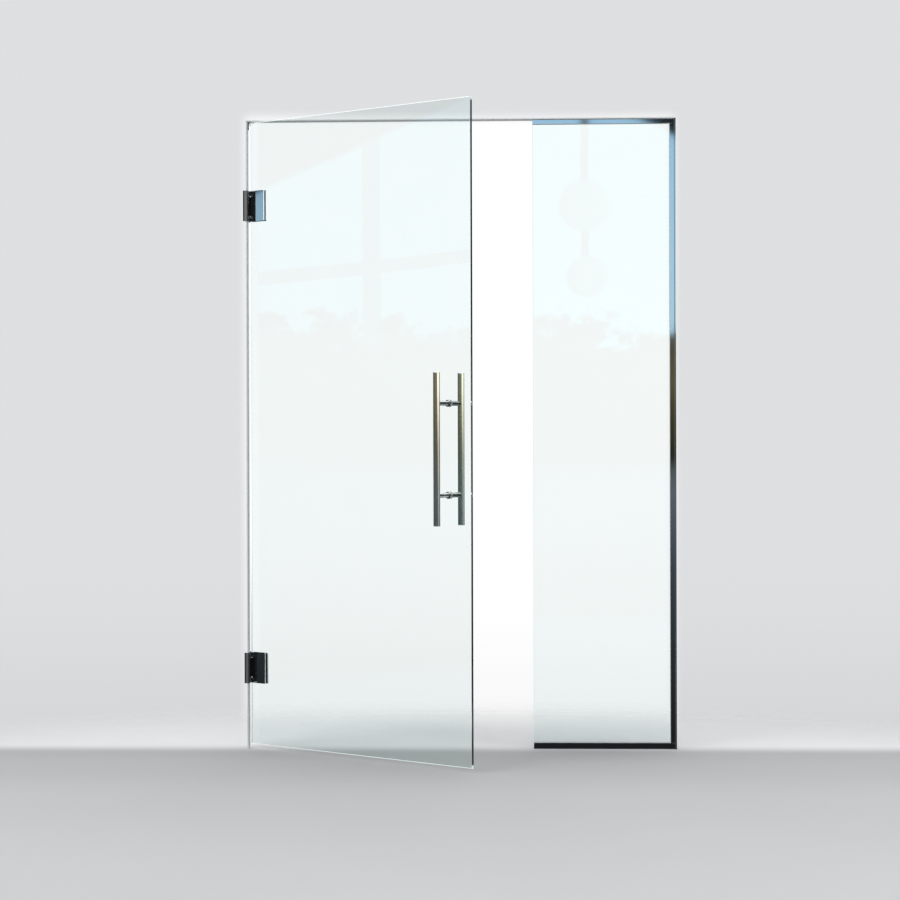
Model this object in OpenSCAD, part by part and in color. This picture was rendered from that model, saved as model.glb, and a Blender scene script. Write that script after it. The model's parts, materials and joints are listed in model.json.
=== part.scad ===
// Frameless glass entrance door with a fixed sidelight, in a slim metal liner frame.
// Millimetres. x = 0 is the outer face of the hinge jamb, y = 0 the middle plane of the
// glass, z = 0 the finished floor. -Y is the front, towards which the leaf stands open.
// The leaf is drawn closed about its pivot line, then turned to door_angle.

/* [Frame] */
// Overall width of the frame
frame_w = 1500; // [1250:5:2000]
// Overall height of the frame
frame_h = 2200; // [1800:5:2700]
// Depth of the frame, front to back
frame_d = 50; // [50:1:120]
// Thickness of the liner plate
liner_t = 4; // [3:0.5:6]
// Diameter of the wall fixing holes
fix_hole_d = 6.5; // [4:0.1:8]
// Distance of the fixing-hole line behind the glass plane
fix_line_y = 20; // [15:0.5:20]
// Height of the lowest jamb fixing hole, and distance of the highest one from the top
jamb_fix_end = 140; // [100:5:180]
// Distance of the first and last head fixing holes from the frame's sides
head_fix_end = 75; // [50:5:200]
// Number of fixing holes in each liner
fix_count = 4; // [3:1:9]
// Leg length of the corner brackets
bracket_leg = 25; // [20:1:30]
// Thickness of the corner brackets
bracket_t = 2.5; // [2:0.1:2.5]
// Width of the corner brackets, front to back
bracket_w = 12; // [11:0.5:13]
// Distance of the corner brackets behind the glass plane
bracket_y = 12; // [11:0.5:12]

/* [Glass] */
// Thickness of both panes
glass_t = 10; // [8:1:12]
// Ground arris along the edges of the panes
glass_arris = 1; // [0.5:0.1:2]
// Width of the door leaf
leaf_w = 986; // [750:1:1150]
// Opening angle of the leaf as drawn
door_angle = 36.7; // [0:0.1:90]
// Gap between the leaf and the hinge jamb
jamb_gap = 8; // [6:0.5:10]
// Gap between the leaf and the sidelight when closed
meeting_gap = 5; // [3:0.5:8]
// Gap above the leaf
head_gap = 3.5; // [3.5:0.5:6]
// Gap below the leaf
floor_gap = 15; // [8:1:20]

/* [Channels] */
// Wall thickness of the glazing channels
channel_t = 2; // [1.5:0.1:3]
// Height of the head and side channels
channel_h = 16; // [14:1:25]
// Height of the sill channel
sill_h = 21; // [18:1:30]
// Thickness of the glazing gaskets, between glass and channel
gasket_t = 3; // [2:0.5:4]
// Depth of the gaskets inside the channels
gasket_depth = 8; // [6:1:9]
// Height of the gasket lips that stand out of the channels
gasket_lip = 1; // [1:0.1:3]
// Gap between the sidelight's edge and the base of the side channel
edge_clear = 4; // [3:0.5:6]
// Gap between the sidelight's top and the base of the head channel
top_clear = 6; // [4:0.5:8]
// Thickness of the setting blocks under the sidelight
block_t = 5; // [3:0.5:8]
// Length of each setting block
block_len = 80; // [50:5:100]
// Length of each edge spacer
spacer_len = 60; // [40:5:100]
// Diameter of the channel screws
channel_screw_d = 4; // [3:0.5:5]
// Distance of the end screws from the ends of the channels
channel_screw_end = 70; // [40:5:100]
// Diameter of the floor fixing holes in the sill channel
sill_hole_d = 6.5; // [4:0.1:8]
// Distance of the floor fixing holes from the ends of the sill channel
sill_hole_end = 65; // [50:1:80]

/* [Hinges] */
// Height of the lower hinge's centre
lower_hinge_z = 283; // [200:1:400]
// Distance of the upper hinge's centre below the top of the frame
upper_hinge_drop = 300; // [200:1:400]
// Distance of the pivot line from the liner's inner face
pivot_inset = 19; // [18:0.5:24]
// Height of the hinges
hinge_h = 107; // [100:1:140]
// Thickness of the hinge wall plates
wall_plate_t = 5; // [4:0.5:6]
// Thickness of the flange in front of the liner
flange_t = 3; // [2:0.5:4]
// Distance the flange reaches past the outside of the frame
flange_lap = 9; // [6:1:12]
// Width of the shallow bevels along both sides of the flange
flange_bevel_w = 4.5; // [2:0.5:5]
// Depth of those bevels
flange_bevel_d = 1.8; // [1:0.1:1.8]
// Radius of the pivot block
block_r = 10.5; // [10:0.1:11]
// Half the width of the web between the pivot block and the wall plate
web_half = 6; // [5:0.5:8]
// Half the height of the pivot block
block_half = 33; // [25:1:36]
// Height of the gap between the pivot block and each clamp arm
arm_gap = 2; // [2:0.1:3]
// Diameter of the pivot pin
pin_d = 8; // [6:0.5:9]
// Wall thickness of the bushes
bush_t = 1.5; // [1:0.1:2]
// Length of each bush inside the block
bush_len = 14; // [10:1:16]
// Thickness of each bush flange
bush_flange_t = 1; // [0.8:0.1:1.2]
// Distance the clamp plates reach from the pivot line
clamp_reach = 60; // [50:1:80]
// Distance the clamp arms reach behind the pivot line
clamp_back = 6.5; // [6:0.1:7]
// Thickness of the clamp plates
clamp_t = 5; // [4:0.5:5]
// Thickness of the gaskets between the clamp plates and the glass
clamp_gasket_t = 1; // [0.5:0.1:1]
// Distance from the pivot line to the core's spine
spine_x = 13; // [12.5:0.1:14]
// Width of the core's spine
spine_w = 14; // [12:0.5:20]
// Corner radius of the glass notches
notch_r = 8; // [5:0.5:10]
// Diameter of the clamp screws
clamp_screw_d = 6; // [5:0.5:6]
// Diameter of the wall screws and block screws
wall_screw_d = 5; // [4:0.5:5]

/* [Handle] */
// Height of the handle's centre
handle_z = 1050; // [900:10:1200]
// Distance of the handle from the leaf's free edge
handle_inset = 94; // [60:1:150]
// Overall length of the pull bars, with their end caps
bar_len = 500; // [400:10:1200]
// Diameter of the pull bars
bar_d = 22; // [18:1:38]
// Wall thickness of the pull bars
bar_t = 2; // [1.5:0.1:3]
// Distance between the posts
post_pitch = 300; // [250:10:900]
// Diameter of the posts
post_d = 16; // [12:0.5:20]
// Distance from the glass plane to the centre of each pull bar
bar_reach = 66; // [50:1:90]
// Diameter of the rosettes
rosette_d = 24; // [22:1:40]
// Thickness of the rosettes
rosette_t = 3; // [2:0.5:5]
// Diameter of the holes in the glass
glass_hole_d = 14; // [12:0.5:18]
// Diameter of the through bolts
bolt_d = 6; // [5:0.5:6]

/* [Clearances] */
// Radial clearance of screws, bolts and posts in their holes
fit_clear = 0.05; // [0.02:0.01:0.1]
// Radial running clearance of the pivot pins in their bushes
pin_clear = 0.05; // [0.02:0.01:0.1]
// Gap between metal and glass inside the notches
notch_clear = 1; // [1:0.1:2]
// Gap between the pivot block and the edge of the clamp notch
swing_clear = 2; // [1.5:0.1:2]

/* [Hidden] */

$fn = 64;
// Overlap that keeps cut faces clean, and how far cutting shapes run past a face
eps = 0.01;
cut = 1;
steel = "silver";
polished = "gainsboro";
rubber = "dimgray";
nylon = "whitesmoke";
clear_seal = "lightcyan";
clear_glass = [0.75, 0.88, 0.85, 0.45];

// Frame faces
front_y = -frame_d / 2;
jamb_h = frame_h - liner_t;
half_glass = glass_t / 2;

// Leaf, with x measured from the pivot line
pivot_x = liner_t + pivot_inset;
leaf_x0 = jamb_gap - pivot_inset;
leaf_x1 = leaf_x0 + leaf_w;
leaf_z1 = jamb_h - head_gap;

// Sidelight and its channels
side_x0 = pivot_x + leaf_x1 + meeting_gap;
side_x1 = frame_w - liner_t;
channel_in = half_glass + gasket_t;
channel_out = channel_in + channel_t;
pane_x1 = side_x1 - channel_t - edge_clear;
pane_z0 = channel_t + block_t;
pane_z1 = jamb_h - channel_t - top_clear;
side_z0 = sill_h;
side_z1 = jamb_h - channel_h;

// Screws: sizes as shares of the shank's diameter
flat_head = 1.9;
flat_edge = 0.1;
flat_socket_h = 0.4;
pan_head = 1.8;
pan_head_h = 0.5;
pan_socket_h = 0.3;
socket_w = 0.6;

// Fixing positions
head_screw_count = 3;
side_screw_count = 4;
jamb_fix_z = spread(jamb_fix_end, frame_h - jamb_fix_end, fix_count);
head_fix_x = spread(head_fix_end, frame_w - head_fix_end, fix_count);
head_screw_x = spread(side_x0 + channel_screw_end, side_x1 - channel_screw_end, head_screw_count);
side_screw_z = spread(side_z0 + channel_screw_end, side_z1 - channel_screw_end, side_screw_count);
sill_hole_x = [side_x0 + sill_hole_end, side_x1 - sill_hole_end];
setting_x = [side_x0 + (pane_x1 - side_x0) / 4, pane_x1 - (pane_x1 - side_x0) / 4];
spacer_z = [
    (side_screw_z[0] + side_screw_z[1]) / 2,
    (side_screw_z[side_screw_count - 2] + side_screw_z[side_screw_count - 1]) / 2
];
bracket_screw_at = bracket_t + (bracket_leg - bracket_t) / 2;
bracket_screw_y = bracket_y + bracket_w / 2;
bracket_screw_d = 4;

// Hinge, in its own frame: pivot at the origin, +X towards the leaf when closed
upper_hinge_z = frame_h - upper_hinge_drop;
liner_x = -pivot_inset;
plate_x = liner_x + wall_plate_t;
plate_short = 2;
plate_back = frame_d / 2 - plate_short;
plate_bevel = 1.2;
wall_screw_edge = 10;
wall_screw_y = plate_back - wall_screw_edge;
wall_screw_past = 5;
wall_screw_z = block_half + wall_screw_past;
block_screw_z = block_half / 2;
block_bevel = 0.8;
bush_r = pin_d / 2 + bush_t;
bush_flange_w = 2;
bush_flange_r = bush_r + bush_flange_w;
bush_wall = 2;
block_screw_end = -bush_r - bush_wall;
arm_z0 = block_half + arm_gap;
arm_h = 11;
arm_z1 = arm_z0 + arm_h;
notch_x = spine_x + spine_w + notch_clear;
notch_z = arm_z1 + notch_clear;
clamp_y0 = half_glass + clamp_gasket_t;
clamp_y1 = clamp_y0 + clamp_t;
clamp_notch_x = block_r + swing_clear;
clamp_screw_x = spine_x + spine_w / 2;
clamp_screw_top = 6;
clamp_screw_mid = 14;
clamp_screw_z = [arm_z1 - clamp_screw_top, clamp_screw_mid];
clamp_screw_cover = 2;
clamp_screw_tip = clamp_y1 - clamp_screw_cover;
clamp_corner_r = 2;
clamp_gasket_inset = 0.5;
pin_short = 0.5;
washer_gap = 0.1;

// Handle, in the leaf's frame
handle_x = leaf_x1 - handle_inset;
washer_t = 1;
washer_inset = 0.5;
rosette_y = half_glass + washer_t;
post_y = rosette_y + rosette_t;
rosette_bevel = 1;
bolt_reach = 25;
bolt_half = half_glass + bolt_reach;
bar_in = bar_reach - bar_d / 2;
spigot_d = 8;
spigot_depth = 3;
spigot_root = 1;
cap_t = 2;
cap_bevel = 0.8;
cap_plug = 12;
grub_d = 4;
grub_at = 10;
grub_y = post_y + grub_at;
grub_sunk = 0.3;
grub_socket_h = 1.2;

// Evenly spaced positions from a to b
function spread(a, b, n) = [for (i = [0 : n - 1]) a + (b - a) * i / (n - 1)];

// ---------- shared shapes ----------

// A flat outline in X and Z, made solid from y0 to y1
module along_y(y0, y1) {
    translate([0, y1, 0]) rotate([90, 0, 0]) linear_extrude(y1 - y0) children();
}

// A flat outline in Y and Z, made solid from x0 to x1
module along_x(x0, x1) {
    translate([x0, 0, 0]) rotate([90, 0, 90]) linear_extrude(x1 - x0) children();
}

// A bore or shaft of radius r from a to b along X, through [y, z]
module rod_x(r, a, b, y, z) {
    translate([a, y, z]) rotate([0, 90, 0]) cylinder(r = r, h = b - a);
}

// A bore or shaft of radius r from a to b along Y, through [x, z]
module rod_y(r, a, b, x, z) {
    translate([x, b, z]) rotate([90, 0, 0]) cylinder(r = r, h = b - a);
}

// A rectangle with round corners, from (x0, y0) to (x1, y1)
module round_rect(x0, y0, x1, y1, r) {
    translate([x0 + r, y0]) square([x1 - x0 - 2 * r, y1 - y0]);
    translate([x0, y0 + r]) square([x1 - x0, y1 - y0 - 2 * r]);
    for (x = [x0 + r, x1 - r], y = [y0 + r, y1 - r]) translate([x, y]) circle(r);
}

// A rectangle with its corners cut at 45 degrees by c, from (x0, y0) to (x1, y1)
module cut_rect(x0, y0, x1, y1, c) {
    polygon([
        [x0 + c, y0], [x1 - c, y0], [x1, y0 + c], [x1, y1 - c],
        [x1 - c, y1], [x0 + c, y1], [x0, y1 - c], [x0, y0 + c]
    ]);
}

// A countersunk screw along +Z: its flat head lies in z = 0 and its tip at z = len
module flat_screw(d, len) {
    difference() {
        flat_head_shape(d / 2, len, 0);
        translate([0, 0, -eps]) cylinder(d = socket_w * d, h = flat_socket_h * d, $fn = 6);
    }
}

// The hole for that screw, open past both ends
module flat_screw_hole(d, len) {
    flat_head_shape(d / 2 + fit_clear, len + cut, cut);
}

// Outline of a countersunk screw, turned about its axis; over lengthens it past the head
module flat_head_shape(r, len, over) {
    head_r = flat_head * r;
    edge_h = flat_edge * r;
    rotate_extrude() polygon([
        [0, -over], [head_r, -over], [head_r, edge_h], [r, edge_h + head_r - r], [r, len], [0, len]
    ]);
}

// A pan-head screw along +Z: its head ends at z = 0, its shank at z = len
module pan_screw(d, len) {
    head_h = pan_head_h * d;
    difference() {
        union() {
            translate([0, 0, -head_h]) cylinder(d = pan_head * d, h = head_h);
            cylinder(d = d, h = len);
        }
        translate([0, 0, -head_h - eps]) cylinder(d = socket_w * d, h = pan_socket_h * d, $fn = 6);
    }
}

// ---------- placing ----------

// Turns the leaf's pieces about the pivot line
module on_leaf() {
    translate([pivot_x, 0, 0]) rotate([0, 0, -door_angle]) children();
}

// Puts a hinge's fixed pieces at height z
module on_jamb(z) {
    translate([pivot_x, 0, z]) children();
}

// Puts a hinge's moving pieces at height z
module on_clamp(z) {
    on_leaf() translate([0, 0, z]) children();
}

// Repeats a piece in the two mirrored halves of a hinge
module both_ends() {
    for (m = [0, 1]) mirror([0, 0, m]) children();
}

// Repeats a handle piece at both posts
module both_posts() {
    for (z = [-post_pitch / 2, post_pitch / 2]) translate([handle_x, 0, handle_z + z]) children();
}

// Turns a piece drawn behind the glass (side = 1) to the front of it (side = -1)
module on_side(side) {
    if (side > 0) children();
    else mirror([0, 1, 0]) children();
}

// ---------- frame ----------

// Where the screws of a hinge pass through its wall plate and the liner
module at_wall_screws() {
    for (y = [-wall_screw_y, wall_screw_y], z = [-wall_screw_z, wall_screw_z])
        translate([plate_x, y, z]) rotate([0, -90, 0]) children();
}

module hinge_jamb() {
    color(polished) difference() {
        translate([0, front_y, 0]) cube([liner_t, frame_d, jamb_h]);
        for (z = jamb_fix_z) rod_x(fix_hole_d / 2, -cut, liner_t + cut, fix_line_y, z);
        for (z = [lower_hinge_z, upper_hinge_z])
            on_jamb(z) at_wall_screws() flat_screw_hole(wall_screw_d, wall_plate_t + liner_t);
        at_bracket_screws(true) flat_screw_hole(bracket_screw_d, bracket_t + liner_t);
    }
}

module sidelight_jamb() {
    color(polished) difference() {
        translate([side_x1, front_y, 0]) cube([liner_t, frame_d, jamb_h]);
        for (z = jamb_fix_z) rod_x(fix_hole_d / 2, side_x1 - cut, frame_w + cut, fix_line_y, z);
        for (z = side_screw_z)
            rod_x(channel_screw_d / 2 + fit_clear, side_x1 - cut, frame_w + cut, 0, z);
        opposite_corner() at_bracket_screws(true) flat_screw_hole(bracket_screw_d, bracket_t + liner_t);
    }
}

module head_liner() {
    color(polished) difference() {
        translate([0, front_y, jamb_h]) cube([frame_w, frame_d, liner_t]);
        for (x = head_fix_x)
            translate([x, fix_line_y, jamb_h - cut]) cylinder(d = fix_hole_d, h = liner_t + 2 * cut);
        for (x = head_screw_x)
            translate([x, 0, jamb_h - cut])
                cylinder(r = channel_screw_d / 2 + fit_clear, h = liner_t + 2 * cut);
        at_bracket_screws(false) flat_screw_hole(bracket_screw_d, bracket_t + liner_t);
        opposite_corner() at_bracket_screws(false) flat_screw_hole(bracket_screw_d, bracket_t + liner_t);
    }
}

// Mirrors a piece of the hinge-side corner to the sidelight's corner
module opposite_corner() {
    translate([frame_w, 0, 0]) mirror([1, 0, 0]) children();
}

// The screw in the bracket's jamb leg, or the one in its head leg
module at_bracket_screws(in_jamb) {
    if (in_jamb)
        translate([liner_t + bracket_t, bracket_screw_y, jamb_h - bracket_screw_at])
            rotate([0, -90, 0]) children();
    else
        translate([liner_t + bracket_screw_at, bracket_screw_y, jamb_h - bracket_t]) children();
}

module corner_bracket() {
    color("dimgray") difference() {
        along_y(bracket_y, bracket_y + bracket_w) translate([liner_t, jamb_h]) polygon([
            [0, 0], [0, -bracket_leg], [bracket_t, -bracket_leg],
            [bracket_t, -bracket_t], [bracket_leg, -bracket_t], [bracket_leg, 0]
        ]);
        for (in_jamb = [true, false])
            at_bracket_screws(in_jamb) flat_screw_hole(bracket_screw_d, bracket_t + liner_t);
    }
}

module bracket_screws() {
    color(steel) for (in_jamb = [true, false]) {
        at_bracket_screws(in_jamb) flat_screw(bracket_screw_d, bracket_t + liner_t);
        opposite_corner() at_bracket_screws(in_jamb) flat_screw(bracket_screw_d, bracket_t + liner_t);
    }
}

// ---------- sidelight ----------

// Cross-section of a glazing channel: its base on y = 0, open towards +Y
module channel_section(h) {
    difference() {
        translate([-channel_out, 0]) square([2 * channel_out, h]);
        translate([-channel_in, channel_t]) square([2 * channel_in, h]);
    }
}

module head_channel() {
    color(polished) difference() {
        translate([0, 0, jamb_h]) mirror([0, 0, 1]) along_x(side_x0, side_x1) channel_section(channel_h);
        for (x = head_screw_x)
            translate([x, 0, jamb_h - channel_t - cut])
                cylinder(r = channel_screw_d / 2 + fit_clear, h = channel_t + 2 * cut);
    }
}

module side_channel() {
    color(polished) difference() {
        translate([side_x1, 0, side_z0]) linear_extrude(side_z1 - side_z0)
            rotate(90) channel_section(channel_h);
        for (z = side_screw_z)
            rod_x(channel_screw_d / 2 + fit_clear, side_x1 - channel_t - cut, side_x1 + cut, 0, z);
    }
}

module sill_channel() {
    color(polished) difference() {
        along_x(side_x0, side_x1) channel_section(sill_h);
        for (x = sill_hole_x)
            translate([x, 0, -cut]) cylinder(d = sill_hole_d, h = channel_t + 2 * cut);
    }
}

module channel_screws() {
    color(steel) {
        for (x = head_screw_x)
            translate([x, 0, jamb_h - channel_t]) pan_screw(channel_screw_d, channel_t + liner_t);
        for (z = side_screw_z)
            translate([side_x1 - channel_t, 0, z]) rotate([0, 90, 0])
                pan_screw(channel_screw_d, channel_t + liner_t);
    }
}

// A pane with ground arrises, from (x0, z0) to (x1, z1)
module pane(x0, z0, x1, z1) {
    intersection() {
        translate([0, 0, z0]) linear_extrude(z1 - z0)
            cut_rect(x0, -half_glass, x1, half_glass, glass_arris);
        along_x(x0, x1) cut_rect(-half_glass, z0, half_glass, z1, glass_arris);
    }
}

module sidelight_glass() {
    color(clear_glass) pane(side_x0, pane_z0, pane_x1, pane_z1);
}

module setting_blocks() {
    color(rubber) for (x = setting_x)
        translate([x - block_len / 2, -half_glass, channel_t]) cube([block_len, glass_t, block_t]);
}

module edge_spacers() {
    color(rubber) for (z = spacer_z)
        translate([pane_x1, -half_glass, z - spacer_len / 2]) cube([edge_clear, glass_t, spacer_len]);
}

// Cross-section of a glazing gasket beside the glass, in a channel of height h
module gasket_section(h) {
    overlap = 0.6;
    chamfer = 1;
    polygon([
        [half_glass, h - gasket_depth], [channel_in - chamfer, h - gasket_depth],
        [channel_in, h - gasket_depth + chamfer], [channel_in, h], [channel_in + overlap, h],
        [channel_in + overlap, h + gasket_lip / 2], [channel_in - chamfer, h + gasket_lip],
        [half_glass, h + gasket_lip]
    ]);
}

module head_gasket(side) {
    color(clear_seal) on_side(side) translate([0, 0, jamb_h]) mirror([0, 0, 1])
        along_x(side_x0, side_x1 - channel_h) gasket_section(channel_h);
}

module sill_gasket(side) {
    color(clear_seal) on_side(side) along_x(side_x0, side_x1 - channel_h) gasket_section(sill_h);
}

module side_gasket(side) {
    z0 = side_z0 + gasket_lip;
    color(clear_seal) on_side(side) translate([side_x1, 0, z0])
        linear_extrude(side_z1 - gasket_lip - z0) rotate(90) gasket_section(channel_h);
}

// ---------- hinges: the pieces on the jamb ----------

// The plate against the liner, with a bevelled flange that laps the front of the frame
module wall_plate() {
    flange_x = liner_x - liner_t - flange_lap;
    flange_y = front_y - flange_t;
    color(polished) difference() {
        translate([0, 0, -hinge_h / 2]) linear_extrude(hinge_h) polygon([
            [flange_x, front_y], [flange_x, flange_y + flange_bevel_d],
            [flange_x + flange_bevel_w, flange_y], [plate_x - flange_bevel_w, flange_y],
            [plate_x, flange_y + flange_bevel_d],
            [plate_x, plate_back - plate_bevel], [plate_x - plate_bevel, plate_back],
            [liner_x, plate_back], [liner_x, front_y]
        ]);
        at_wall_screws() flat_screw_hole(wall_screw_d, wall_plate_t + liner_t);
        at_block_screws() flat_screw_hole(wall_screw_d, block_screw_end - liner_x);
    }
}

module wall_screws() {
    color(steel) at_wall_screws() flat_screw(wall_screw_d, wall_plate_t + liner_t);
}

// The screws that hold the pivot block, put in from behind the wall plate
module at_block_screws() {
    for (z = [-block_screw_z, block_screw_z]) translate([liner_x, 0, z]) rotate([0, 90, 0]) children();
}

module block_screws() {
    color(steel) at_block_screws() flat_screw(wall_screw_d, block_screw_end - liner_x);
}

// The knuckle: a round barrel with a web to the plate, bored for the bushes
module pivot_block() {
    color(polished) difference() {
        union() {
            rotate_extrude() polygon([
                [0, -block_half], [block_r - block_bevel, -block_half],
                [block_r, -block_half + block_bevel], [block_r, block_half - block_bevel],
                [block_r - block_bevel, block_half], [0, block_half]
            ]);
            along_x(plate_x, 0) cut_rect(-web_half, -block_half, web_half, block_half, block_bevel);
        }
        cylinder(r = bush_r + fit_clear, h = 4 * block_half, center = true);
        at_block_screws() flat_screw_hole(wall_screw_d, block_screw_end - liner_x);
    }
}

module pivot_bushes() {
    color(nylon) both_ends() difference() {
        union() {
            translate([0, 0, block_half - bush_len]) cylinder(r = bush_r, h = bush_len);
            translate([0, 0, block_half]) cylinder(r = bush_flange_r, h = bush_flange_t);
        }
        cylinder(r = pin_d / 2 + pin_clear, h = 2 * block_half);
    }
}

// ---------- hinges: the pieces on the leaf ----------

module pivot_pin() {
    color(steel) cylinder(d = pin_d, h = 2 * (arm_z1 - pin_short), center = true);
}

module thrust_washers() {
    washer_z = block_half + bush_flange_t + washer_gap;
    color(nylon) both_ends() translate([0, 0, washer_z]) difference() {
        cylinder(r = bush_flange_r, h = arm_z0 - washer_z);
        translate([0, 0, -cut]) cylinder(r = pin_d / 2 + fit_clear, h = arm_gap + 2 * cut);
    }
}

// Where the clamp screws run, from the rear plate's face towards the front
module at_clamp_screws() {
    for (z = clamp_screw_z) both_ends() translate([clamp_screw_x, clamp_y1, z])
        rotate([90, 0, 0]) children();
}

// The C-shaped core in the glass notch: two arms for the pin, and the spine between them
module clamp_core() {
    color(steel) difference() {
        along_y(-clamp_y0, clamp_y0) difference() {
            union() {
                round_rect(-clamp_back, -arm_z1, spine_x, arm_z1, clamp_corner_r);
                round_rect(0, -arm_z1, spine_x + spine_w, arm_z1, notch_r - notch_clear);
            }
            translate([-clamp_back - cut, -arm_z0]) square([clamp_back + cut + spine_x, 2 * arm_z0]);
        }
        cylinder(r = pin_d / 2 + fit_clear, h = 4 * arm_z1, center = true);
        at_clamp_screws() flat_screw_hole(clamp_screw_d, clamp_y1 + clamp_screw_tip);
    }
}

// Outline of a clamp plate: open round the pivot block
module clamp_outline() {
    difference() {
        round_rect(-clamp_back, -hinge_h / 2, clamp_reach, hinge_h / 2, clamp_corner_r);
        translate([-clamp_back - cut, -arm_z0]) square([clamp_notch_x + clamp_back + cut, 2 * arm_z0]);
    }
}

module clamp_plate(side) {
    color(polished) difference() {
        on_side(side) along_y(clamp_y0, clamp_y1) clamp_outline();
        at_clamp_screws() flat_screw_hole(clamp_screw_d, clamp_y1 + clamp_screw_tip);
    }
}

module clamp_gasket(side) {
    gasket_z = hinge_h / 2 - clamp_gasket_inset;
    gasket_x1 = clamp_reach - clamp_gasket_inset;
    color(rubber) on_side(side) along_y(half_glass, clamp_y0) difference() {
        round_rect(-clamp_back + clamp_gasket_inset, -gasket_z, gasket_x1, gasket_z, clamp_corner_r);
        translate([-clamp_back - cut, -notch_z]) square([notch_x + clamp_back + cut, 2 * notch_z]);
    }
}

module clamp_screws() {
    color(steel) at_clamp_screws() flat_screw(clamp_screw_d, clamp_y1 + clamp_screw_tip);
}

// ---------- leaf ----------

// The notch in the leaf's edge that holds a clamp core
module hinge_notch() {
    along_y(-half_glass - cut, half_glass + cut)
        round_rect(leaf_x0 - 3 * notch_r, -notch_z, notch_x, notch_z, notch_r);
}

module leaf_glass() {
    color(clear_glass) difference() {
        pane(leaf_x0, floor_gap, leaf_x1, leaf_z1);
        for (z = [lower_hinge_z, upper_hinge_z]) translate([0, 0, z]) hinge_notch();
        both_posts() rod_y(glass_hole_d / 2, -half_glass - cut, half_glass + cut, 0, 0);
    }
}

// ---------- handle ----------

module pull_bar(side) {
    tube_len = bar_len - 2 * cap_t;
    color(steel) on_side(side) difference() {
        translate([handle_x, bar_reach, handle_z]) cylinder(d = bar_d, h = tube_len, center = true);
        translate([handle_x, bar_reach, handle_z])
            cylinder(d = bar_d - 2 * bar_t, h = tube_len + 2 * cut, center = true);
        both_posts() rod_y(spigot_d / 2 + fit_clear, bar_in - cut, bar_reach, 0, 0);
    }
}

module bar_caps(side) {
    plug_r = bar_d / 2 - bar_t - fit_clear;
    color(polished) on_side(side) translate([handle_x, bar_reach, handle_z]) both_ends() {
        translate([0, 0, bar_len / 2 - cap_t]) rotate_extrude() polygon([
            [0, -cap_plug], [plug_r, -cap_plug], [plug_r, 0], [bar_d / 2, 0],
            [bar_d / 2, cap_t - cap_bevel], [bar_d / 2 - cap_bevel, cap_t], [0, cap_t]
        ]);
    }
}

// A post: saddled to the bar, bored for the through bolt
module post(side, end) {
    color(steel) on_side(side) translate([handle_x, 0, handle_z + end * post_pitch / 2]) {
        difference() {
            rod_y(post_d / 2, post_y, bar_reach, 0, 0);
            translate([0, bar_reach, 0]) cylinder(r = bar_d / 2 + fit_clear, h = 2 * post_d, center = true);
            rod_y(bolt_d / 2 + fit_clear, post_y - cut, bolt_half + cut, 0, 0);
            if (side > 0) translate([0, grub_y, -post_d]) cylinder(r = grub_d / 2 + fit_clear, h = post_d);
        }
        rod_y(spigot_d / 2, bar_in - spigot_root, bar_in + bar_t + spigot_depth, 0, 0);
    }
}

module handle_rosettes() {
    color(polished) for (side = [-1, 1]) on_side(side) both_posts() difference() {
        translate([0, rosette_y, 0]) rotate([-90, 0, 0]) rotate_extrude() polygon([
            [0, 0], [rosette_d / 2, 0], [rosette_d / 2, rosette_t - rosette_bevel],
            [rosette_d / 2 - rosette_bevel, rosette_t], [0, rosette_t]
        ]);
        rod_y(bolt_d / 2 + fit_clear, 0, bar_reach, 0, 0);
    }
}

module handle_washers() {
    color(nylon) for (side = [-1, 1]) on_side(side) both_posts() difference() {
        rod_y(rosette_d / 2 - washer_inset, half_glass, rosette_y, 0, 0);
        rod_y(bolt_d / 2 + fit_clear, 0, bar_reach, 0, 0);
    }
}

module handle_sleeves() {
    color(nylon) both_posts() difference() {
        rod_y(glass_hole_d / 2 - fit_clear, -half_glass, half_glass, 0, 0);
        rod_y(bolt_d / 2 + fit_clear, -half_glass - cut, half_glass + cut, 0, 0);
    }
}

module handle_bolts() {
    color(steel) both_posts() rod_y(bolt_d / 2, -bolt_half, bolt_half, 0, 0);
}

// Grub screws under the rear posts, which lock them to the bolts
module post_grub_screws() {
    top = -bolt_d / 2 - fit_clear;
    bottom = -post_d / 2 + grub_sunk;
    color("dimgray") both_posts() translate([0, grub_y, bottom]) difference() {
        cylinder(d = grub_d, h = top - bottom);
        translate([0, 0, -eps]) cylinder(d = grub_d / 2, h = grub_socket_h, $fn = 6);
    }
}

// ---------- nodes ----------

hinge_jamb();
sidelight_jamb();
head_liner();
corner_bracket();  // hinge_corner_bracket
opposite_corner() corner_bracket();  // sidelight_corner_bracket
bracket_screws();
head_channel();
side_channel();
sill_channel();
channel_screws();
sidelight_glass();
setting_blocks();
edge_spacers();
head_gasket(-1);  // head_gasket_front
head_gasket(1);  // head_gasket_back
side_gasket(-1);  // side_gasket_front
side_gasket(1);  // side_gasket_back
sill_gasket(-1);  // sill_gasket_front
sill_gasket(1);  // sill_gasket_back

on_jamb(upper_hinge_z) wall_plate();  // upper_wall_plate
on_jamb(upper_hinge_z) pivot_block();  // upper_pivot_block
on_jamb(upper_hinge_z) pivot_bushes();  // upper_pivot_bushes
on_jamb(upper_hinge_z) wall_screws();  // upper_wall_screws
on_jamb(upper_hinge_z) block_screws();  // upper_block_screws
on_jamb(lower_hinge_z) wall_plate();  // lower_wall_plate
on_jamb(lower_hinge_z) pivot_block();  // lower_pivot_block
on_jamb(lower_hinge_z) pivot_bushes();  // lower_pivot_bushes
on_jamb(lower_hinge_z) wall_screws();  // lower_wall_screws
on_jamb(lower_hinge_z) block_screws();  // lower_block_screws

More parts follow.
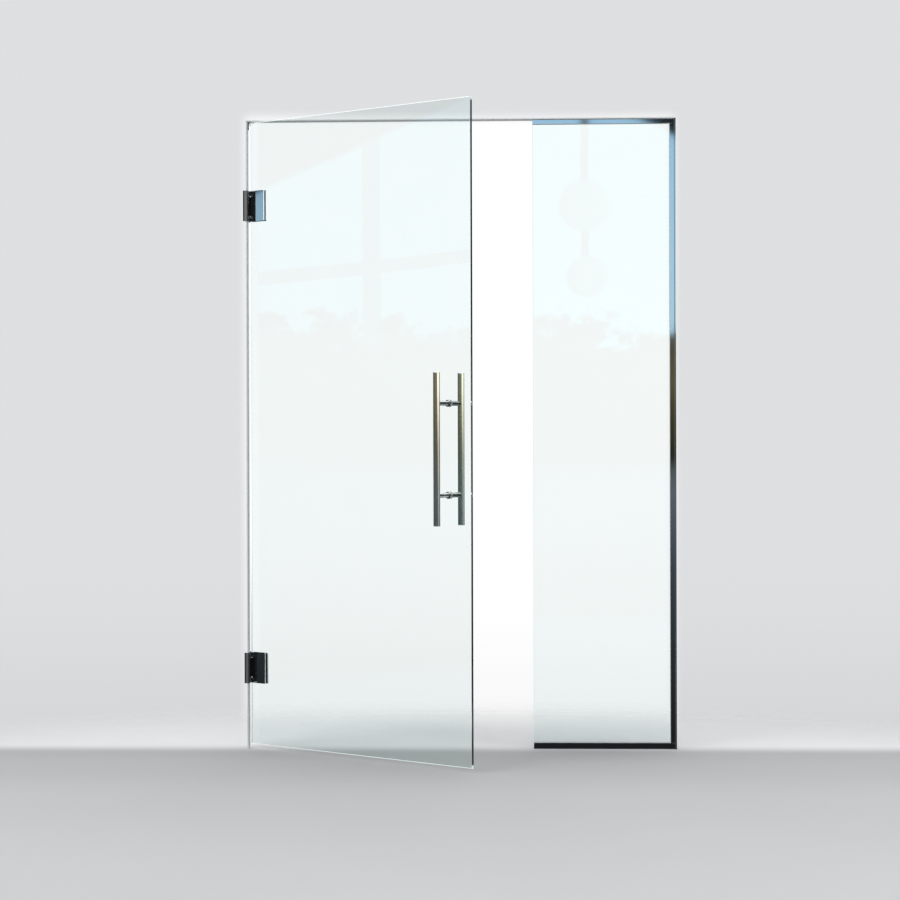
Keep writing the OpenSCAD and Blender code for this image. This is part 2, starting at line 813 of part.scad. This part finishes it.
on_leaf() leaf_glass();
on_clamp(upper_hinge_z) pivot_pin();  // upper_pivot_pin
on_clamp(upper_hinge_z) clamp_core();  // upper_clamp_core
on_clamp(upper_hinge_z) clamp_plate(-1);  // upper_front_clamp_plate
on_clamp(upper_hinge_z) clamp_plate(1);  // upper_rear_clamp_plate
on_clamp(upper_hinge_z) clamp_gasket(-1);  // upper_front_clamp_gasket
on_clamp(upper_hinge_z) clamp_gasket(1);  // upper_rear_clamp_gasket
on_clamp(upper_hinge_z) clamp_screws();  // upper_clamp_screws
on_clamp(upper_hinge_z) thrust_washers();  // upper_thrust_washers
on_clamp(lower_hinge_z) pivot_pin();  // lower_pivot_pin
on_clamp(lower_hinge_z) clamp_core();  // lower_clamp_core
on_clamp(lower_hinge_z) clamp_plate(-1);  // lower_front_clamp_plate
on_clamp(lower_hinge_z) clamp_plate(1);  // lower_rear_clamp_plate
on_clamp(lower_hinge_z) clamp_gasket(-1);  // lower_front_clamp_gasket
on_clamp(lower_hinge_z) clamp_gasket(1);  // lower_rear_clamp_gasket
on_clamp(lower_hinge_z) clamp_screws();  // lower_clamp_screws
on_clamp(lower_hinge_z) thrust_washers();  // lower_thrust_washers

on_leaf() pull_bar(-1);  // front_pull_bar
on_leaf() pull_bar(1);  // rear_pull_bar
on_leaf() bar_caps(-1);  // front_bar_caps
on_leaf() bar_caps(1);  // rear_bar_caps
on_leaf() post(-1, 1);  // front_upper_post
on_leaf() post(-1, -1);  // front_lower_post
on_leaf() post(1, 1);  // rear_upper_post
on_leaf() post(1, -1);  // rear_lower_post
on_leaf() handle_rosettes();
on_leaf() handle_washers();
on_leaf() handle_sleeves();
on_leaf() handle_bolts();
on_leaf() post_grub_screws();
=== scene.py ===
"""Looks of the glass entrance door: materials, studio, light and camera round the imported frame."""

import json
import math

import bpy
from mathutils import Matrix, Vector


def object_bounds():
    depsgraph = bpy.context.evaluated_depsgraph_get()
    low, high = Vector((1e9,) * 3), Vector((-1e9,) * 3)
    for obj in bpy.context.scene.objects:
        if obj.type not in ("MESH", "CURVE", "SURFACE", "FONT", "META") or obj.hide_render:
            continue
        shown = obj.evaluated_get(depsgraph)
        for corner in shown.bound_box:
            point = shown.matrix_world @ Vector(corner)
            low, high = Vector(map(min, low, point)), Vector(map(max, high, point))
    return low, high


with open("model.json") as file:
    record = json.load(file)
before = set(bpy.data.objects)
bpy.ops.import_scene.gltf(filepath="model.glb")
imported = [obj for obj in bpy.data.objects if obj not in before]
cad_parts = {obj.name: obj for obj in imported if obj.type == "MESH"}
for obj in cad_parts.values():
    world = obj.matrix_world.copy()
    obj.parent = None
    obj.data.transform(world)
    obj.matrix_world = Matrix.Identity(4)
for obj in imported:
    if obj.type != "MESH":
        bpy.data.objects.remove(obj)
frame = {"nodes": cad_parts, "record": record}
cad_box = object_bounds()
nodes = frame["nodes"]

BLACK = (0.0, 0.0, 0.0)
WHITE = (1.0, 1.0, 1.0)

# Camera: place in metres, turns in degrees, lens and sensor in millimetres
EYE = Vector((1.0007, -7.8607, 1.0939))
YAW, PITCH, ROLL = 2.103, -0.362, -0.165
LENS, SENSOR = 89.92, 36.0
VIEW_FAR = 100.0

# The ground top and bottom edges of a pane: faces that look up or down more than this
GROUND_FROM = 0.3
# The liner's side towards the wall, which gets painted shade: faces that look left or up more than
# this
WALL_SIDE_FROM = 0.5

GLASS_IOR = 1.52
SILICONE_IOR = 1.41

# Floor, in metres: a disc in front of the door that fades out, with its tones from front to back:
# painted shade that darkens it just in front of the door, and painted light that brightens it behind
# the door
FLOOR_RADIUS = 2.6
FLOOR_FADE = 1.2
FLOOR_AHEAD = 2.3
FLOOR_SIDES = 96
FLOOR_GAP = 0.0005
FLOOR_REACH = (-2.5, 1.0)
FLOOR_SHADE_AND_LIGHT_TONES = [(0.0, (0.60,) * 3), (0.40, (0.56,) * 3), (0.60, (0.50,) * 3),
               (0.68, (0.46,) * 3), (0.74, (0.86,) * 3)]

# Soft lights: name, place and size in metres, and watts
LIGHTS = [("key", (-2.5, -3.5, 4.5), (3.0, 3.0), 90),
          ("fill", (4.5, -3.0, 3.0), (2.5, 2.5), 40)]
LIT_POINT = (0.75, 0, 0.8)

# All directions below are degrees. A turn is 0 straight in front of the door and grows to the
# right, a height is 0 at the horizon.

# Backdrop, with the glow behind the door: its middle, half width, top and soft border
BACKDROP = (0.735, 0.74, 0.755)
GLOW = (1.02, 1.02, 1.02)
GLOW_TURN, GLOW_HALF, GLOW_TOP, GLOW_SOFT = -1.85, 5.2, 7.8, 0.45
DUSK_SPAN = 12.0
DUSK_TONES = [(0.0, (0.80,) * 3), (0.33, (0.80,) * 3), (0.42, (0.92,) * 3), (0.62, (0.98,) * 3),
              (0.8, WHITE)]

# Room that mirrored rays see: colours by height, in its dim part and in its sunny part
LEVEL_SPAN = 24.0
DIM_LEVELS = [(-12, (0.014, 0.015, 0.016)), (-7.5, (0.016, 0.018, 0.019)),
              (-5.5, (0.030, 0.036, 0.038)), (-3.4, (0.055, 0.075, 0.088)),
              (-1.4, (0.14, 0.165, 0.19)), (-0.5, (0.10, 0.11, 0.09)), (0.3, (0.30, 0.27, 0.16)),
              (1.4, (0.66, 0.58, 0.40)), (2.5, (0.50, 0.46, 0.36)), (2.9, (0.022, 0.025, 0.027)),
              (12, (0.02, 0.022, 0.024))]
BRIGHT_LEVELS = [(-12, (0.16, 0.16, 0.16)), (-6, (0.30, 0.30, 0.30)), (-1.9, (0.44, 0.46, 0.47)),
                 (-0.6, (0.66, 0.66, 0.62)), (0.3, (1.1, 1.0, 0.72)), (1.3, (2.6, 2.45, 2.0)),
                 (2.6, (2.7, 2.6, 2.3)), (3.2, (0.06, 0.06, 0.06)), (12, (0.05, 0.05, 0.05))]
SUN_FROM_LOW, SUN_FROM_HIGH, SUN_RISE = 42.0, 14.0, 22.0
SUN_FADE = (100.0, 84.0)

# Windows: from and to turn of each, and the sky in them above ragged tree tops
WINDOWS = [(-84, -66), (-2, 9), (44, 76), (-150, -112), (140, 172)]
SKY_LOW, SKY_HIGH = (0.60, 0.88, 1.02), (0.46, 0.76, 1.0)
LEFT_SKY_DIMMED = (0.72, 0.72, 0.73)
TREE_TOPS_FROM, TREE_TOPS_RANGE = 0.5, 4.4

# Tops of the windows. The left and the front one slope: a turn, the rate, the height at that turn
LEFT_TOP = (-79.9, 0.44, 6.39)
FRONT_TOP = (2.7, -0.5, 8.0)
OTHER_TOPS = 11.0
LEFT_WINDOW_TO = -39.0

# Window bars, left out of the front window: a level bar that rises and evens out, and uprights
BARS_PAST = 20.0
BAR, BAR_COVERS = (0.10, 0.11, 0.12), 0.9
LEVEL_BAR_RATE, LEVEL_BAR_IN_FRONT, LEVEL_BAR_MOST, LEVEL_BAR_HALF = 0.113, 13.06, 4.6, 0.18
UPRIGHT_AT, UPRIGHT_SPACING, UPRIGHT_HALF = -77.5, 8.0, 0.23

# Pendant lamps: turn, half width and foot of their rod, and turn, height and radius of each
ROD_AT, ROD_HALF, ROD_FOOT = 1.34, 0.09, 4.5
ROD_COLOUR = (0.12, 0.13, 0.12)
LAMPS = [(1.34, 5.83, 0.70), (1.40, 4.05, 0.58)]
LAMP_LEFT, LAMP_RIGHT = (0.20, 0.26, 0.26), (0.50, 0.62, 0.62)
LAMP_BORDER = 0.08

# Pillar beside the front window, and a white wall far to the right
PILLAR = (-9.5, -3.5)
PILLAR_FOOT, PILLAR_HEAD = (0.14, 0.14, 0.14), (0.24, 0.245, 0.25)
WHITE_WALL = (95.0, 100.8)
WHITE_WALL_COLOUR = (1.5, 1.6, 1.65)

# Ground below the door, ceiling above it, and the light overhead
GROUND = (0.05, 0.05, 0.05)
CEILING = (0.12, 0.12, 0.125)
OVERHEAD = (2.2, 2.2, 2.2)
OVERHEAD_FROM, OVERHEAD_FROM_REAR, OVERHEAD_RISE = 38.0, 25.0, 12.0
REAR_RIGHT = (124.0, 180.0)


# ---------- node helpers ----------

class Tree:
    """A node tree with short ways to add and join nodes."""

    def __init__(self, tree):
        self.tree = tree

    def add(self, kind, inputs=None, **settings):
        node = self.tree.nodes.new(kind)
        for name, value in settings.items():
            setattr(node, name, value)
        for name, value in (inputs or {}).items():
            self.put(node.inputs[name], value)
        return node

    def put(self, socket, value):
        if isinstance(value, bpy.types.NodeSocket):
            self.tree.links.new(value, socket)
        else:
            socket.default_value = value

    def math(self, operation, a, b=0.0):
        return self.add("ShaderNodeMath", {0: a, 1: b}, operation=operation).outputs[0]

    def plus(self, a, b):
        return self.math("ADD", a, b)

    def minus(self, a, b):
        return self.math("SUBTRACT", a, b)

    def times(self, a, b):
        return self.math("MULTIPLY", a, b)

    def absolute(self, a):
        return self.math("ABSOLUTE", a)

    def ramp(self, factor, stops, interpolation="LINEAR"):
        node = self.add("ShaderNodeValToRGB", {"Fac": factor})
        ramp = node.color_ramp
        ramp.interpolation = interpolation
        while len(ramp.elements) > 1:
            ramp.elements.remove(ramp.elements[-1])
        ramp.elements[0].position, ramp.elements[0].color = stops[0][0], rgba(stops[0][1])
        for position, colour in stops[1:]:
            ramp.elements.new(position).color = rgba(colour)
        return node.outputs["Color"]

    def scale_to(self, factor, low, high):
        node = self.add("ShaderNodeMapRange", {"Value": factor, "To Min": low, "To Max": high})
        return node.outputs["Result"]

    def mix(self, factor, a, b, blend="MIX"):
        node = self.add("ShaderNodeMix", data_type="RGBA", blend_type=blend)
        self.put(node.inputs["Factor"], factor)
        self.put(node.inputs[6], a if isinstance(a, bpy.types.NodeSocket) else rgba(a))
        self.put(node.inputs[7], b if isinstance(b, bpy.types.NodeSocket) else rgba(b))
        return node.outputs[2]

    def tint(self, a, b):
        return self.mix(1.0, a, b, blend="MULTIPLY")

    def lerp(self, factor, a, b):
        node = self.add("ShaderNodeMix", {0: factor, 2: a, 3: b}, data_type="FLOAT")
        return node.outputs[0]

    def noise(self, place, scale, detail=3.0, roughness=0.5):
        node = self.add("ShaderNodeTexNoise", {"Vector": place, "Scale": scale, "Detail": detail,
                                               "Roughness": roughness})
        return node.outputs["Fac"]

    def stretched(self, place, x, y, z):
        node = self.add("ShaderNodeMapping", {"Vector": place, "Scale": (x, y, z)})
        return node.outputs["Vector"]

    def step(self, value, start, end, smooth=False):
        """0 at start, 1 at end."""
        kind = "SMOOTHSTEP" if smooth else "LINEAR"
        node = self.add("ShaderNodeMapRange", {"Value": value, "From Min": start, "From Max": end},
                        interpolation_type=kind)
        return node.outputs["Result"]

    def band(self, value, low, high, soft):
        """1 between low and high, fading to 0 over soft on each side."""
        return self.times(self.step(value, low - soft, low), self.step(value, high + soft, high))

    def near(self, value, middle, half):
        """1 less than half away from middle, else 0."""
        return self.math("LESS_THAN", self.absolute(self.minus(value, middle)), half)

    def slope(self, value, pivot, rate, at_pivot):
        """A straight line that passes at_pivot where value is pivot."""
        return self.plus(self.times(self.minus(value, pivot), rate), at_pivot)

    def bump(self, height, strength, distance, normal=None):
        node = self.add("ShaderNodeBump", {"Height": height, "Strength": strength,
                                           "Distance": distance})
        if normal is not None:
            self.put(node.inputs["Normal"], normal)
        return node.outputs["Normal"]


def rgba(colour):
    return (*colour, 1.0) if len(colour) == 3 else colour


def new_material(name):
    material = bpy.data.materials.new(name)
    material.use_nodes = True
    tree = Tree(material.node_tree)
    shader = material.node_tree.nodes["Principled BSDF"]
    place = tree.add("ShaderNodeTexCoord").outputs["Object"]
    return material, tree, shader, place


# ---------- materials ----------

def metal(name, colour, roughness, brush, brush_height, cloud=0.04, metallic=1.0, edge=0.0005):
    """Worked metal: brush is the stretch of its grinding marks, edge the radius of its edges."""
    material, tree, shader, place = new_material(name)
    marks = tree.noise(tree.stretched(place, *brush), scale=1.0, detail=4.0, roughness=0.65)
    clouds = tree.noise(place, scale=14.0, detail=5.0)
    light = [c * (1 + cloud) for c in colour]
    dark = [c * (1 - cloud) for c in colour]
    tree.put(shader.inputs["Base Color"], tree.mix(clouds, dark, light))
    shader.inputs["Metallic"].default_value = metallic
    wear = tree.plus(tree.times(marks, 0.6), tree.times(clouds, 0.4))
    tree.put(shader.inputs["Roughness"], tree.scale_to(wear, *roughness))
    rounded = tree.add("ShaderNodeBevel", {"Radius": edge}, samples=6).outputs[0]
    tree.put(shader.inputs["Normal"],
             tree.bump(marks, strength=0.35, distance=brush_height, normal=rounded))
    return material


def glass(name):
    """Clear toughened float glass: faint green body, slight roller waves, hardly visible dust."""
    material, tree, shader, place = new_material(name)
    shader.inputs["Transmission Weight"].default_value = 1.0
    shader.inputs["IOR"].default_value = GLASS_IOR
    shader.inputs["Specular Tint"].default_value = (0.45, 1.0, 0.98, 1.0)
    waves = tree.noise(tree.stretched(place, 1.2, 1.2, 3.5), scale=1.0, detail=1.0)
    dust = tree.noise(place, scale=9.0, detail=6.0, roughness=0.6)
    body_colour = tree.mix(dust, (0.905, 0.985, 0.98), (0.925, 1.0, 0.995))
    tree.put(shader.inputs["Base Color"], body_colour)
    tree.put(shader.inputs["Roughness"], tree.scale_to(dust, 0.0, 0.012))
    tree.put(shader.inputs["Normal"], tree.bump(waves, strength=0.05, distance=0.002))
    body = tree.add("ShaderNodeVolumeAbsorption", {"Color": (0.55, 0.86, 0.78, 1.0),
                                                   "Density": 3.0})
    out = material.node_tree.nodes["Material Output"]
    tree.put(out.inputs["Volume"], body.outputs["Volume"])
    return material


def soft_stuff(name, dark, light, roughness, grain, clouds, bump):
    """A plain material: grain and clouds are noise scale and detail, bump strength and depth."""
    material, tree, shader, place = new_material(name)
    grains = tree.noise(place, *grain)
    cloud = tree.noise(place, *clouds)
    tree.put(shader.inputs["Base Color"], tree.mix(cloud, dark, light))
    tree.put(shader.inputs["Roughness"], tree.scale_to(cloud, *roughness))
    tree.put(shader.inputs["Normal"], tree.bump(grains, *bump))
    return material, shader


def ground_glass_painted_glow(name):
    """Ground edge of a pane: frosted, fine grinding marks, and a faint painted glow from emission
    that stands in for the light led along it.
    """
    material, tree, shader, place = new_material(name)
    marks = tree.noise(tree.stretched(place, 30, 30, 900), scale=1.0, detail=4.0)
    clouds = tree.noise(place, scale=20.0, detail=4.0)
    tree.put(shader.inputs["Base Color"], tree.mix(clouds, (0.90, 0.95, 0.93), (0.97, 0.99, 0.98)))
    tree.put(shader.inputs["Roughness"], tree.scale_to(clouds, 0.40, 0.55))
    tree.put(shader.inputs["Normal"], tree.bump(marks, strength=0.3, distance=0.00003))
    shader.inputs["Transmission Weight"].default_value = 0.1
    shader.inputs["IOR"].default_value = GLASS_IOR
    # Painted glow: the emission makes the ground edges shine, though they are no lamp
    shader.inputs["Emission Color"].default_value = (0.88, 1.0, 0.96, 1.0)
    shader.inputs["Emission Strength"].default_value = 0.5
    return material


def rubber(name):
    return soft_stuff(name, (0.012, 0.012, 0.013), (0.028, 0.028, 0.029), roughness=(0.55, 0.75),
                      grain=(900.0, 3.0), clouds=(30.0, 3.0), bump=(0.3, 0.00008))[0]


def silicone(name):
    """Translucent glazing gasket, slightly milky."""
    material, shader = soft_stuff(name, (0.93, 0.95, 0.94), (0.98, 0.99, 0.98),
                                  roughness=(0.28, 0.45), grain=(500.0, 3.0), clouds=(25.0, 4.0),
                                  bump=(0.2, 0.00005))
    shader.inputs["Transmission Weight"].default_value = 0.2
    shader.inputs["IOR"].default_value = SILICONE_IOR
    return material


def nylon(name, dark, light):
    material, shader = soft_stuff(name, dark, light, roughness=(0.35, 0.5), grain=(600.0, 3.0),
                                  clouds=(40.0, 4.0), bump=(0.2, 0.00005))
    shader.inputs["Subsurface Weight"].default_value = 0.15
    shader.inputs["Subsurface Scale"].default_value = 0.002
    return material


def coated(name, colour, gloss=0.5):
    """Dark powder coat: a fine orange peel over faint clouds."""
    light = [c * 1.4 for c in colour]
    material, shader = soft_stuff(name, colour, light, roughness=(0.38, 0.55), grain=(700.0, 2.0),
                                  clouds=(60.0, 4.0), bump=(0.3, 0.00006))
    shader.inputs["Specular IOR Level"].default_value = gloss
    return material


MATERIALS = {
    "clear_glass": glass("clear_glass_look"),
    "liner_metal": metal("liner_metal_look", (0.82, 0.83, 0.83), roughness=(0.38, 0.5),
                         brush=(6, 160, 6), brush_height=0.00004, metallic=0.1),
    "dark_metal": coated("dark_metal_look", (0.035, 0.038, 0.042)),
    # A black coat whose near-black tone and weak specular are also painted shade for the shaded
    # inside of the hinges
    "black_coat": coated("black_coat_painted_shade_look", (0.005, 0.005, 0.006), gloss=0.2),
    "polished_channel": metal("polished_channel_look", (0.66, 0.68, 0.70), roughness=(0.01, 0.045),
                              brush=(60, 60, 4), brush_height=0.000002, edge=0.0003),
    "polished_hinge": metal("polished_hinge_look", (0.66, 0.68, 0.70), roughness=(0.01, 0.04),
                            brush=(50, 50, 8), brush_height=0.000002, edge=0.0003),
    "satin_handle": metal("satin_handle_look", (0.66, 0.655, 0.64), roughness=(0.06, 0.13),
                          brush=(8, 8, 900), brush_height=0.000006),
    "plain_steel": metal("plain_steel_look", (0.34, 0.34, 0.35), roughness=(0.24, 0.38),
                         brush=(500, 500, 500), brush_height=0.00002),
    "rubber": rubber("rubber_look"),
    "clear_seal": silicone("clear_seal_look"),
    "nylon": nylon("nylon_look", (0.70, 0.70, 0.66), (0.82, 0.82, 0.79)),
    "dark_nylon": nylon("dark_nylon_look", (0.010, 0.010, 0.011), (0.022, 0.022, 0.023)),
}

edge_with_painted_glow = ground_glass_painted_glow("edge_with_painted_glow_look")
# Painted shade: a darker, duller copy of the liner metal for the liner's faces towards the wall
liner_painted_shade = metal("liner_painted_shade_look", (0.40, 0.41, 0.42), roughness=(0.42, 0.58),
                  brush=(6, 220, 6), brush_height=0.00008, cloud=0.12, metallic=0.3)


def is_ground(normal):
    return abs(normal.z) > GROUND_FROM


def is_wall_side(normal):
    return normal.x < -WALL_SIDE_FROM or normal.z > WALL_SIDE_FROM


# Slots with a second material: that material, and the test for its faces; the glass gets ground
# edges with a painted glow, the liner a painted shade on its faces towards the wall
SECOND = {"clear_glass": (edge_with_painted_glow, is_ground), "liner_metal": (liner_painted_shade, is_wall_side)}

for part in frame["record"]["subparts"]:
    slot = part["material_slot"]
    mesh = nodes[part["node"]].data
    mesh.materials.clear()
    mesh.materials.append(MATERIALS[slot])
    if slot in SECOND:
        second, belongs = SECOND[slot]
        mesh.materials.append(second)
        for face in mesh.polygons:
            face.material_index = int(belongs(face.normal))


# ---------- studio ----------

def make_floor():
    """A pale round floor that fades into the backdrop."""
    low, high = cad_box
    radius = FLOOR_RADIUS + FLOOR_FADE
    turns = [2 * math.pi * i / FLOOR_SIDES for i in range(FLOOR_SIDES)]
    ring = [(radius * math.cos(turn), radius * math.sin(turn), 0) for turn in turns]
    mesh = bpy.data.meshes.new("floor")
    mesh.from_pydata(ring, [], [list(range(FLOOR_SIDES))])
    floor = bpy.data.objects.new("floor", mesh)
    floor.location = ((low.x + high.x) / 2, -FLOOR_AHEAD, low.z - FLOOR_GAP)
    floor.visible_glossy = False
    bpy.context.scene.collection.objects.link(floor)
    mesh.materials.append(floor_material(radius))


def floor_material(radius):
    """Matt stone in tones from front to back, with painted shade darker just in front of the door
    and painted light brighter behind it, fading out towards the radius.
    """
    material, tree, shader, place = new_material("floor_look")
    grain = tree.noise(place, scale=40.0, detail=6.0, roughness=0.6)
    cloud = tree.noise(place, scale=1.3, detail=4.0)
    blend = tree.plus(tree.times(grain, 0.4), tree.times(cloud, 0.6))
    grain_tone = tree.mix(blend, (0.95,) * 3, (1.05,) * 3)
    depth = tree.add("ShaderNodeSeparateXYZ", {0: place}).outputs["Y"]
    along = tree.step(tree.minus(depth, FLOOR_AHEAD), *FLOOR_REACH)
    # Painted shade and light: the tone darkens towards the door plane and turns bright behind it
    tone = tree.ramp(along, FLOOR_SHADE_AND_LIGHT_TONES, "EASE")
    tree.put(shader.inputs["Base Color"], tree.tint(tone, grain_tone))
    tree.put(shader.inputs["Roughness"], tree.scale_to(grain, 0.55, 0.7))
    distance = tree.add("ShaderNodeVectorMath", {0: place}, operation="LENGTH").outputs["Value"]
    tree.put(shader.inputs["Alpha"], tree.step(distance, radius, FLOOR_RADIUS, smooth=True))
    return material


def make_world():
    """A pale backdrop, and for mirrored rays a room with windows."""
    world = bpy.data.worlds.new("studio")
    bpy.context.scene.world = world
    world.use_nodes = True
    world.node_tree.nodes.clear()
    tree = Tree(world.node_tree)
    way = tree.add("ShaderNodeTexCoord").outputs["Generated"]
    x, y, z = tree.add("ShaderNodeSeparateXYZ", {0: way}).outputs
    degrees = 180 / math.pi
    height = tree.times(tree.math("ARCSINE", z), degrees)
    turn = tree.times(tree.math("ARCTAN2", x, tree.times(y, -1.0)), degrees)

    path = tree.add("ShaderNodeLightPath").outputs
    mirrored = tree.math("GREATER_THAN", path["Glossy Depth"], 0.5)
    mirror = tree.times(mirrored, tree.math("LESS_THAN", path["Diffuse Depth"], 0.5))
    plain = tree.add("ShaderNodeBackground", {"Color": backdrop(tree, turn, height)}).outputs[0]
    seen = tree.add("ShaderNodeBackground", {"Color": room(tree, way, turn, height)}).outputs[0]
    both = tree.add("ShaderNodeMixShader", {0: mirror, 1: plain, 2: seen}).outputs[0]
    tree.add("ShaderNodeOutputWorld", {"Surface": both})


def backdrop(tree, turn, height):
    """A pale backdrop with a soft glow behind the door, a little darker towards the floor."""
    behind = tree.minus(180.0, tree.absolute(turn))
    side = tree.times(behind, tree.math("SIGN", turn))
    across = tree.absolute(tree.minus(side, GLOW_TURN))
    glow = tree.times(tree.step(across, GLOW_HALF + GLOW_SOFT, GLOW_HALF, smooth=True),
                      tree.step(height, GLOW_TOP + GLOW_SOFT, GLOW_TOP, smooth=True))
    rise = tree.math("DIVIDE", tree.plus(height, DUSK_SPAN), DUSK_SPAN)
    return tree.tint(tree.mix(glow, BACKDROP, GLOW), tree.ramp(rise, DUSK_TONES))


def room(tree, way, turn, height):
    """What mirrored rays see all round the door."""
    leaves = tree.noise(tree.stretched(way, 1.0, 1.0, 1.4), scale=34.0, detail=6.0, roughness=0.7)
    colour = room_levels(tree, turn, height)
    colour = with_trees(tree, colour, leaves, turn, height)
    colour = with_windows(tree, colour, leaves, turn, height)
    colour = with_lamps(tree, colour, turn, height)
    colour = with_pillar_and_wall(tree, colour, turn, height)
    return with_ground_and_light(tree, colour, turn, height)


def room_levels(tree, turn, height):
    """Colours by height: dim, and darker to the left, with a sunny part to the right."""
    place = tree.math("DIVIDE", tree.plus(height, LEVEL_SPAN / 2), LEVEL_SPAN)

    def levels(stops):
        return tree.ramp(place, [((at + LEVEL_SPAN / 2) / LEVEL_SPAN, c) for at, c in stops])

    sun_from = tree.lerp(tree.step(height, 0.3, 0.9), SUN_FROM_LOW, SUN_FROM_HIGH)
    sunny = tree.times(tree.step(tree.minus(turn, sun_from), 0.0, SUN_RISE),
                       tree.step(turn, *SUN_FADE))
    above_horizon = tree.lerp(tree.step(turn, -75.0, 10.0), 0.35, 0.8)
    kept = tree.lerp(tree.step(height, -0.6, 0.2), 1.0, above_horizon)
    return tree.mix(sunny, tree.mix(kept, BLACK, levels(DIM_LEVELS)), levels(BRIGHT_LEVELS))


def with_trees(tree, colour, leaves, turn, height):
    """Dappled leaves just above the horizon, darker straight in front."""
    dappled = tree.tint(colour, tree.mix(leaves, (0.3, 0.32, 0.3), (1.5, 1.45, 1.4)))
    shade = tree.mix(tree.band(turn, -3.0, 10.0, 1.0), WHITE, (0.28, 0.28, 0.24))
    return tree.mix(tree.band(height, -0.6, 2.9, 0.3), colour, tree.tint(dappled, shade))


def with_windows(tree, colour, leaves, turn, height):
    """Sky above ragged tree tops, with a level bar and uprights in the windows at the sides."""
    glazed = None
    for low, high in WINDOWS:
        one = tree.band(turn, low, high, 0.15)
        glazed = one if glazed is None else tree.math("MAXIMUM", glazed, one)
    tree_tops = tree.plus(tree.times(leaves, TREE_TOPS_RANGE), TREE_TOPS_FROM)
    above = tree.step(tree.minus(height, tree_tops), -0.1, 0.15)
    top = tree.lerp(tree.step(turn, LEFT_WINDOW_TO - 1.0, LEFT_WINDOW_TO),
                    tree.slope(turn, *LEFT_TOP), tree.slope(turn, *FRONT_TOP))
    top = tree.lerp(tree.band(turn, -95.0, 25.0, 1.0), OTHER_TOPS, top)
    under = tree.step(tree.minus(height, top), 0.08, -0.08)
    open_sky = tree.times(tree.times(glazed, above), under)
    sky = tree.mix(tree.step(height, 2.5, 8.0), SKY_LOW, SKY_HIGH)
    left = tree.step(turn, LEFT_WINDOW_TO, LEFT_WINDOW_TO - 2.0)
    sky = tree.mix(left, sky, tree.tint(sky, LEFT_SKY_DIMMED))
    colour = tree.mix(open_sky, colour, sky)

    rising = tree.plus(tree.times(turn, LEVEL_BAR_RATE), LEVEL_BAR_IN_FRONT)
    level = tree.near(height, tree.math("MINIMUM", rising, LEVEL_BAR_MOST), LEVEL_BAR_HALF)
    off_upright = tree.math("PINGPONG", tree.minus(turn, UPRIGHT_AT), UPRIGHT_SPACING / 2)
    upright = tree.math("LESS_THAN", off_upright, UPRIGHT_HALF)
    bars = tree.times(tree.math("MAXIMUM", level, upright), open_sky)
    bars = tree.times(bars, tree.math("GREATER_THAN", tree.absolute(turn), BARS_PAST))
    return tree.mix(tree.times(bars, BAR_COVERS), colour, BAR)


def with_lamps(tree, colour, turn, height):
    """Two round pendant lamps on a rod before the front window."""
    rod = tree.times(tree.band(turn, ROD_AT - ROD_HALF, ROD_AT + ROD_HALF, 0.02),
                     tree.step(height, ROD_FOOT, ROD_FOOT + 0.1))
    colour = tree.mix(rod, colour, ROD_COLOUR)
    for lamp_turn, lamp_height, radius in LAMPS:
        sideways = tree.minus(turn, lamp_turn)
        upwards = tree.minus(height, lamp_height)
        away = tree.math("SQRT", tree.plus(tree.times(sideways, sideways),
                                           tree.times(upwards, upwards)))
        lamp = tree.mix(tree.step(sideways, -radius, radius), LAMP_LEFT, LAMP_RIGHT)
        colour = tree.mix(tree.step(away, radius, radius - LAMP_BORDER), colour, lamp)
    return colour


def with_pillar_and_wall(tree, colour, turn, height):
    """A grey pillar beside the front window, and a white wall far to the right."""
    stone = tree.mix(tree.step(height, -6.0, 5.0), PILLAR_FOOT, PILLAR_HEAD)
    colour = tree.mix(tree.band(turn, *PILLAR, 0.3), colour, stone)
    white = tree.times(tree.band(turn, *WHITE_WALL, 1.2), tree.step(height, -7.0, -2.5))
    white = tree.times(white, tree.step(height, 12.0, 9.0))
    return tree.mix(white, colour, WHITE_WALL_COLOUR)


def with_ground_and_light(tree, colour, turn, height):
    """Dark ground far below, a ceiling above, and the light overhead."""
    colour = tree.mix(tree.step(height, -11.0, -24.0), colour, GROUND)
    colour = tree.mix(tree.step(height, 11.5, 30.0), colour, CEILING)
    start = tree.lerp(tree.band(turn, *REAR_RIGHT, 8.0), OVERHEAD_FROM, OVERHEAD_FROM_REAR)
    overhead = tree.step(tree.minus(height, start), 0.0, OVERHEAD_RISE)
    return tree.mix(overhead, colour, OVERHEAD)


def soft_light(name, place, size, watts):
    """A rectangular area light that points at the door."""
    data = bpy.data.lights.new(name, "AREA")
    data.shape = "RECTANGLE"
    data.size, data.size_y = size
    data.energy = watts
    lamp = bpy.data.objects.new(name, data)
    lamp.location = place
    aim = Vector(LIT_POINT) - Vector(place)
    lamp.rotation_euler = aim.to_track_quat("-Z", "Y").to_euler()
    bpy.context.scene.collection.objects.link(lamp)


def make_camera():
    yaw, pitch, roll = (math.radians(a) for a in (YAW, PITCH, ROLL))
    ahead = Vector((-math.sin(yaw) * math.cos(pitch), math.cos(yaw) * math.cos(pitch),
                    math.sin(pitch)))
    right = Vector((math.cos(yaw), math.sin(yaw), 0))
    up = right.cross(ahead)
    across = right * math.cos(roll) + up * math.sin(roll)
    above = up * math.cos(roll) - right * math.sin(roll)
    data = bpy.data.cameras.new("camera")
    data.lens, data.sensor_width = LENS, SENSOR
    data.clip_end = VIEW_FAR
    camera = bpy.data.objects.new("camera", data)
    axes = Matrix((across, above, -ahead)).transposed().to_4x4()
    camera.matrix_world = Matrix.Translation(EYE) @ axes
    bpy.context.scene.collection.objects.link(camera)
    bpy.context.scene.camera = camera


make_floor()
make_world()
make_camera()
for light in LIGHTS:
    soft_light(*light)
bpy.context.scene.view_settings.view_transform = "Standard"
